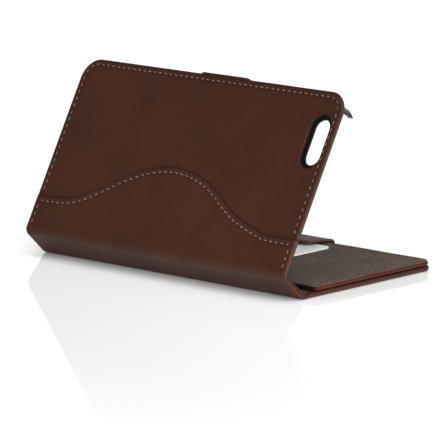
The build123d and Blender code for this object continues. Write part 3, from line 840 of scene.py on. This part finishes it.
def window_rim():
    """The turned and burnished edge of the leather round the camera window."""
    # How far outside the window's edge, and how deep, going round the turned leather.
    profile = [(1.2, 0.6), (0.8, 0.34), (0.45, 0.24), (0.12, 0.3), (-0.03, 0.5)]
    profile += [(-0.06, 0.9), (-0.06, 1.5), (0.5, 1.53), (1.2, 1.4)]
    points, ways = window_outline(96)
    rings = []
    for out, depth in profile:
        rings.append(back.at(*(points + out * ways).T, depth))
    grid = np.array(rings)
    sides, count = grid.shape[:2]
    faces = []
    for i in range(sides):
        for k in range(count):
            j, after = (i + 1) % sides, (k + 1) % count
            faces.append((i * count + k, i * count + after, j * count + after, j * count + k))
    tint_and_painted_light = np.repeat([0, 0, 0.1, 0.3, 0.2, 0, 0, 0, 0], count)
    piece = new_piece("camera_window_rim", grid.reshape(-1, 3), faces, leather, "leather", tint_and_painted_light)
    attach(piece, "back_cover")


window_rim()


# ---- The inner layer: its edges are bound in leather, and lie a little apart from the skin's ----
INNER_DEPTH = 1.0  # the inner layer of the back cover lies this deep,
INNER_INSET = 0.35  # its edges are this far inside the skin's,
INNER_NEAR = 2.3  # and it starts this far from the fold


def inner_back():
    """The leather turned round the back board's edges, under the skin."""
    rho = (back_thick - INNER_DEPTH) / 2
    ends = edge_lines(rho, TURNED + 1)
    half_length = half - INNER_INSET
    far = back_width - INNER_INSET
    corner = BACK_CORNER - INNER_INSET
    columns = grid_lines(-half_length, half_length, ends, ends, step=1.2)
    rows = grid_lines(INNER_NEAR, far, None, ends, step=1.2)
    layers = []
    for layer in (0.0, rho * 0.6):
        x, u, depth, run = lay_sheet(
            columns, rows, 0, half_length, INNER_NEAR, far, None, corner, rho, layer
        )
        layers.append(back.at(x, u, INNER_DEPTH + depth))
    # Painted shadow: the binding's edges are darkened where the gap between the skin and the binding lies in
    # shade.
    tint_and_painted_light = -0.6 * bump(run, 0.2, 0.6)
    piece = sheet_piece("back_inner_binding", *layers, lining_leather, "leather", tint_and_painted_light)
    cut_window(piece)
    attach(piece, "back_cover")


inner_back()


LINING_DEPTH = 1.25  # the lining's outer face lies this deep in a cover
LINING_BOUND = 1.6  # width of the leather binding at its ends
LINING_FINE = 2.0  # its grid is finer this close to its ends


def lining(name, bend, bodies, far, thick, drawn_in, replaced):
    """A strip of microfibre along the inside, bound at its ends, closer to the skin at the fold.

    It runs from mid spine to far, and on the cover its ends are drawn_in further than there."""
    rho = thick / 2
    ends = edge_lines(rho, 0.3)
    ends = ends[ends < LINING_FINE]
    columns = grid_lines(-half, half, ends, ends, step=2.0)
    rows = grid_lines(spine_middle(bend), far, step=0.5)
    x, u = np.meshgrid(columns, rows, indexing="ij")
    base = LINING_DEPTH - 0.4 * bump(u, (bend.start + bend.end) / 2, 1.6)
    from_side = half - np.abs(x)
    edge_inset = 0.3 + drawn_in * smooth((u - 1.0) / 3.0)
    layers = []
    for layer in (0.0, rho * 0.7):
        inset, depth = rolled(from_side, rho, layer)
        x_out = np.sign(x) * (half - inset - edge_inset)
        layers.append(bend.at(x_out, u, base + depth))
    tint_and_painted_light = smooth((LINING_BOUND - from_side) / 0.3)
    piece = sheet_piece(name, *layers, suede, "lining", tint_and_painted_light)
    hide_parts(*replaced)
    bend_ends = list(bend.arc_ends())
    if bodies[0] == "spine":
        bend_ends.reverse()
    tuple(bend_ends[0])
    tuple(bend_ends[1])
    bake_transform(piece)


lining(
    "front_lining_cloth",
    lower_bend,
    ("front_cover", "spine"),
    far=front_width - TURNED + 0.4,
    thick=0.5,
    drawn_in=1.5,
    replaced=("front_lining", "spine_lining"),
)
lining(
    "back_lining_cloth",
    upper_bend,
    ("spine", "back_cover"),
    far=11.0,
    thick=0.27,
    drawn_in=1.2,
    replaced=(),
)


# ---- The pocket panel: open towards the spine ----
POCKET_NEAR_CORNER = 1.5
POCKET_LIFT = 0.3  # the gap between the pocket panel and the cover under it
POCKET_SETBACK = 0.3  # the panel's edges lie this far inside the cover's
FACING_INSET = 0.35  # from the panel's edges to the facing's
pocket_top = reach("pocket_board", lower_fold, -front.outward)[1]
pocket_near, pocket_far = reach("pocket_leather", lower_fold, front.across)
pocket_half = reach("pocket_leather", lower_fold, X_DIR)[1]
pocket_under = cover_thick + POCKET_LIFT
facing_top = reach("pocket_facing", lower_fold, -front.outward)[1]
pocket_corner = FRONT_CORNER - POCKET_SETBACK


def pocket_grid(rho, layer, inset, turned, step=0.9):
    """A sheet rolled over the pocket panel's four edges, in x, u, depth and run."""
    ends = edge_lines(rho, turned)
    half_length = pocket_half - inset
    near = pocket_near + inset
    far = pocket_far - inset
    corner = pocket_corner - inset
    columns = grid_lines(-half_length, half_length, ends, ends, step)
    rows = grid_lines(near, far, ends, ends, step)
    return lay_sheet(
        columns, rows, 0, half_length, near, far, POCKET_NEAR_CORNER, corner, rho, layer
    )


def pocket_seam_line():
    """The pocket's seam, round three sides of the panel."""
    side = pocket_half - STITCH_INSET
    near = pocket_near + STITCH_INSET
    far = pocket_far - STITCH_INSET
    corners = [(-side, near), (-side, far), (side, far), (side, near)]
    return rounded_line(corners, pocket_corner - STITCH_INSET)


pocket_seam = Seam(pocket_seam_line())


def pocket_skin():
    """The leather under the pocket panel, turned up over its board on all four sides."""
    rho = (pocket_top - pocket_under) / 2
    layers = []
    for layer in (0.0, SKIN):
        x, u, depth, run = pocket_grid(rho, layer, 0, 0.7)
        layers.append(front.at(x, u, pocket_under + depth))
    # The edges take the redder edge colour, and painted shade darkens the mouth, which faces the spine.
    tint_and_painted_light = bump(run, 0.1, 0.8) - 1.6 * smooth((pocket_near + 2.5 - u) / 2.5)
    piece = sheet_piece("pocket_skin", *layers, lining_leather, "leather", tint_and_painted_light)
    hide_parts("pocket_leather")
    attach(piece, "front_cover")


def pocket_cloth():
    """The microfibre that faces the pocket panel, its edges softly rounded."""
    thick = facing_top - pocket_top
    layers = []
    for layer in (0.0, thick * 0.45):
        x, u, depth, run = pocket_grid(thick / 2, layer, FACING_INSET, 0.1, GRID_STEP)
        upper = run > thick / 2 - math.pi * thick / 4
        raised = (0.04 * bump(run, 1.1, 0.7) + ripple(x, u)) * upper
        raised = raised - pocket_seam.pull(x, u, 0.12, 0.12) * upper
        layers.append(front.at(x, u, facing_top - depth + raised))
    piece = sheet_piece("pocket_facing_cloth", *layers, suede, "lining")
    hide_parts("pocket_facing")
    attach(piece, "front_cover")


class Upper:
    """The pocket's upper side, whose depth is counted downwards from its face."""

    def at(self, x, u, depth):
        """The points at x, u, and at depth below the facing."""
        return front.at(x, u, facing_top - depth)


pocket_skin()
pocket_cloth()
stitching = pocket_seam.threads("pocket_threads", Upper(), THREAD_SINK, dark_thread, "dark_thread")
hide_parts("pocket_stitches")
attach(stitching, "front_cover")


# ---- The card slots: three leaves, sewn down on three sides ----
LEAF = 0.35  # thickness of a leaf


def card_slot(number):
    """One leaf of microfibre, its mouth rolled and its other sides pressed flat."""
    node = f"card_slot_{number}"
    low, high = (np.array(corner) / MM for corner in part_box(node))
    near, far = low[1] - lower_fold[1], high[1] - lower_fold[1]
    top = high[2]
    pressed = facing_top + LEAF * number
    columns = grid_lines(low[0], high[0], step=0.8)
    rows = grid_lines(near, far, step=0.8)
    x, u = np.meshgrid(columns, rows, indexing="ij")
    to_side = np.minimum(np.minimum(u - near, far - u), x - low[0])
    height = pressed + (top - pressed) * smooth((to_side - 0.6) / 2.2)
    height -= 0.12 * bump(to_side, 1.0, 0.4)
    height += 0.12 * bump(x, high[0], 1.0) + 0.1 * ripple(x, u)
    edge_round = 0.12 * bump(np.minimum(to_side, high[0] - x), 0, 0.3)
    layers = [front.at(x, u, height - edge_round), front.at(x, u, height - LEAF + edge_round)]
    tint_and_painted_light = bump(x, high[0], 0.9)
    piece = sheet_piece(f"card_slot_leaf_{number}", *layers, suede, "lining", tint_and_painted_light)
    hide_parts(node)
    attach(piece, "front_cover")


for number in (1, 2, 3):
    card_slot(number)


# ---- The closure flaps: leather turned round a magnet, and a lining under it ----
FLAP_CORNER = 4.0
FLAP_TURNED = 1.5  # how far the leather is turned in
FLAP_SKIN = 0.19  # thickness of the leather
FLAP_CLOTH = 0.2  # and of the lining
CLOTH_INSET = 0.9  # from a flap's edges to its lining's
CLOTH_SUNK = 0.12  # the lining is let this far into the flap's under side
ROOT_LONG = 6.0  # how far the root runs into the seam
ROOT_EDGE = 0.2  # half the thickness of the roots' edges
ROOT_THICK = 0.45  # the flaps' roots are a little thinner than this


def flap_skin(body, bend, middle, half_length, tip, rho):
    """A flap's leather, from its root in the cover's seam round its fold to its tip."""
    ends = edge_lines(rho, FLAP_TURNED)
    columns = grid_lines(middle - half_length, middle + half_length, ends, ends, step=0.8)
    rows = grid_lines(bend.end - ROOT_LONG, tip, None, ends, step=0.35)
    fold_share = smooth((rows - bend.end) / (bend.start - bend.end))
    edge = (ROOT_EDGE + (rho - ROOT_EDGE) * fold_share)[None]
    layers = []
    for layer in (0.0, FLAP_SKIN):
        x, u, depth, run = lay_sheet(
            columns, rows, middle, half_length, 0, tip, None, FLAP_CORNER, edge, layer
        )
        raised = 0.06 * bump(run, 1.2, 0.8) - 0.08 * bump(run, 2.0, 0.3)
        raised = raised * (run > rho)
        layers.append(bend.at(x, u, depth - raised))
    tint_and_painted_light = 0.7 * bump(run, 0.2, 0.6)
    piece = sheet_piece(f"{body}_skin", *layers, leather, "leather", tint_and_painted_light)
    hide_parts(f"{body}_leather", f"{body}_fold", f"{body}_root")
    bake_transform(piece)


def flap_cloth(body, panel, middle, half_length, start, tip, depth):
    """The microfibre under a flap, its edges slightly rounded."""
    corner = FLAP_CORNER - CLOTH_INSET
    columns = grid_lines(middle - half_length, middle + half_length, step=0.8)
    rows = grid_lines(start, tip, step=0.8)
    layers = []
    for layer in (0.0, FLAP_CLOTH):
        x, u, _, run = lay_sheet(
            columns, rows, middle, half_length, start, tip, None, corner, 0.01, 0
        )
        rounded = 0.08 * bump(run, 0, 0.4) * (1 if layer else -1)
        layers.append(panel.at(x, u, depth + layer - rounded))
    piece = sheet_piece(f"{body}_cloth", *layers, suede, "lining")
    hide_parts(f"{body}_lining")
    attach(piece, body)


def flap(body, bend, tip, thick, cloth_start):
    """A closure flap that hangs on a cover by its root: its leather and its lining."""
    low, high = (np.array(corner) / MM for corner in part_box(f"{body}_leather"))
    middle = (low[0] + high[0]) / 2
    half_length = (high[0] - low[0]) / 2
    flap_skin(body, bend, middle, half_length, tip, thick / 2)
    half_length -= CLOTH_INSET
    cloth_tip = tip - CLOTH_INSET
    depth = thick - CLOTH_SUNK
    flap_cloth(body, bend.panel, middle, half_length, cloth_start, cloth_tip, depth)


BACK_FLAP_BEND = 1.4  # radius of its turn over the edge


def back_flap():
    """The back cover's flap, which stands off its free edge."""
    outer = reach("back_flap_leather", upper_fold, back_dir)[1]
    tip_depth = reach("back_flap_leather", upper_fold, -back.outward)[1]
    root_depth = reach("back_flap_root", upper_fold, -back.outward)[0]
    corner = upper_fold + back_dir * outer - back.outward * root_depth
    panel = Panel(corner, -back.outward, back_dir)
    bend = Bend(panel, BACK_FLAP_BEND, BACK_FLAP_BEND, math.pi / 2)
    thick = outer - reach("back_flap_lining", upper_fold, back_dir)[0]
    hinge_blend = (panel.at(0, ROOT_THICK, 0), panel.at(0, ROOT_THICK + 0.8, 0))
    cloth_start = BACK_FLAP_BEND + 0.2
    tip = tip_depth - root_depth
    flap("back_flap", bend, tip, thick, cloth_start)


FRONT_FLAP_TILT = math.radians(5.3)  # its slope, as it lies over the pocket panel
FRONT_FLAP_START = 0.45  # its turn starts this far in from the hinge
ROOT_GAP = 0.05  # between its root and the cover under it


def front_flap():
    """The front cover's flap, folded in over the pocket panel."""
    hinge = np.array(joints["front_flap_hinge"]["pos_m"]) / MM
    inward = np.array([0, -math.cos(FRONT_FLAP_TILT), math.sin(FRONT_FLAP_TILT)])
    upward = np.array([0, math.sin(FRONT_FLAP_TILT), math.cos(FRONT_FLAP_TILT)])
    top = reach("front_flap_leather", hinge, upward)[1]
    tip = reach("front_flap_leather", hinge, inward)[1]
    thick = top - reach("front_flap_lining", hinge, upward)[0]
    panel = Panel(hinge + upward * top, inward, upward)
    radius = (hinge[2] + top * upward[2] - cover_thick - ROOT_GAP) / 2
    bend = Bend(panel, FRONT_FLAP_START, radius, math.pi - FRONT_FLAP_TILT)
    cloth_start = FRONT_FLAP_START + 0.35
    flap("front_flap", bend, tip, thick, cloth_start)


back_flap()
front_flap()


# ---- Floor and light ----
FLOOR_HALF = 6.0
FLOOR_LOW = -0.00012  # just clear of the case


def add_floor():
    """A plain pale floor with a faint gloss."""
    mesh = bpy.data.meshes.new("floor")
    corners = [
        (FLOOR_HALF * x, FLOOR_HALF * y, FLOOR_LOW) for x, y in ((-1, -1), (1, -1), (1, 1), (-1, 1))
    ]
    mesh.from_pydata(corners, [], [(0, 1, 2, 3)])
    look = Nodes("pale_floor")
    look.set(Base_Color=look.mix(look.noise(3, 2), (0.94, 0.94, 0.94, 1), (0.96, 0.96, 0.96, 1)))
    look.set(Roughness=0.04, IOR=1.32)
    mesh.materials.append(look.material)
    floor = bpy.data.objects.new("floor", mesh)
    bpy.context.scene.collection.objects.link(floor)


def place_light(data, place, aim):
    """Puts a light at place, turned towards aim, in metres."""
    light = bpy.data.objects.new(data.name, data)
    light.location = place
    light.rotation_euler = (Vector(aim) - Vector(place)).to_track_quat("-Z", "Y").to_euler()
    bpy.context.scene.collection.objects.link(light)


def add_softbox(name, place, aim, size, power):
    """A square area light, its size in metres and its power in watts."""
    data = bpy.data.lights.new(name, "AREA")
    data.shape = "SQUARE"
    data.size = size
    data.energy = power
    place_light(data, place, aim)


def add_spot(name, place, aim, cone, power):
    """A soft-edged spot whose full cone is in degrees."""
    data = bpy.data.lights.new(name, "SPOT")
    data.spot_size = math.radians(cone)
    data.spot_blend = 1.0
    data.shadow_soft_size = 0.04
    data.energy = power
    place_light(data, place, aim)


def add_world(overhead, horizon):
    """White light from all round, its strength overhead and at the horizon given."""
    world = bpy.data.worlds.new("studio")
    world.use_nodes = True
    nodes, links = world.node_tree.nodes, world.node_tree.links
    place = nodes.new("ShaderNodeTexCoord")
    parts = nodes.new("ShaderNodeSeparateXYZ")
    strength = nodes.new("ShaderNodeMapRange")
    strength.interpolation_type = "SMOOTHSTEP"
    band = {"From Min": 0.22, "From Max": 0.4, "To Min": horizon, "To Max": overhead}
    for key, value in band.items():
        strength.inputs[key].default_value = value
    links.new(place.outputs["Generated"], parts.inputs[0])
    links.new(parts.outputs["Z"], strength.inputs["Value"])
    background = nodes["Background"]
    background.inputs["Color"].default_value = (1, 1, 1, 1)
    links.new(strength.outputs["Result"], background.inputs["Strength"])
    bpy.context.scene.world = world


def add_sun(name, direction, strength, spread):
    """Even light from one side: direction points towards it, and spread is in degrees."""
    data = bpy.data.lights.new(name, "SUN")
    data.energy = strength
    data.angle = math.radians(spread)
    light = bpy.data.objects.new(name, data)
    light.rotation_euler = Vector(direction).to_track_quat("Z", "Y").to_euler()
    bpy.context.scene.collection.objects.link(light)


add_floor()
add_world(0.15, 1.1)
CASE_MIDDLE = (0.0, 0.0, 0.03)
add_sun("overhead", (0.35, -0.3, 0.9), 2.95, 80)
add_softbox("low_front", (0.25, -0.6, 0.05), CASE_MIDDLE, 0.25, 1.7)
add_softbox("camera_end", (0.6, 0.02, 0.12), CASE_MIDDLE, 0.3, 2.0)
add_spot("lower_right", (0.62, -0.33, 0.12), (0.035, -0.05, 0.03), 11, 15.0)
bpy.context.scene.view_settings.view_transform = "Standard"
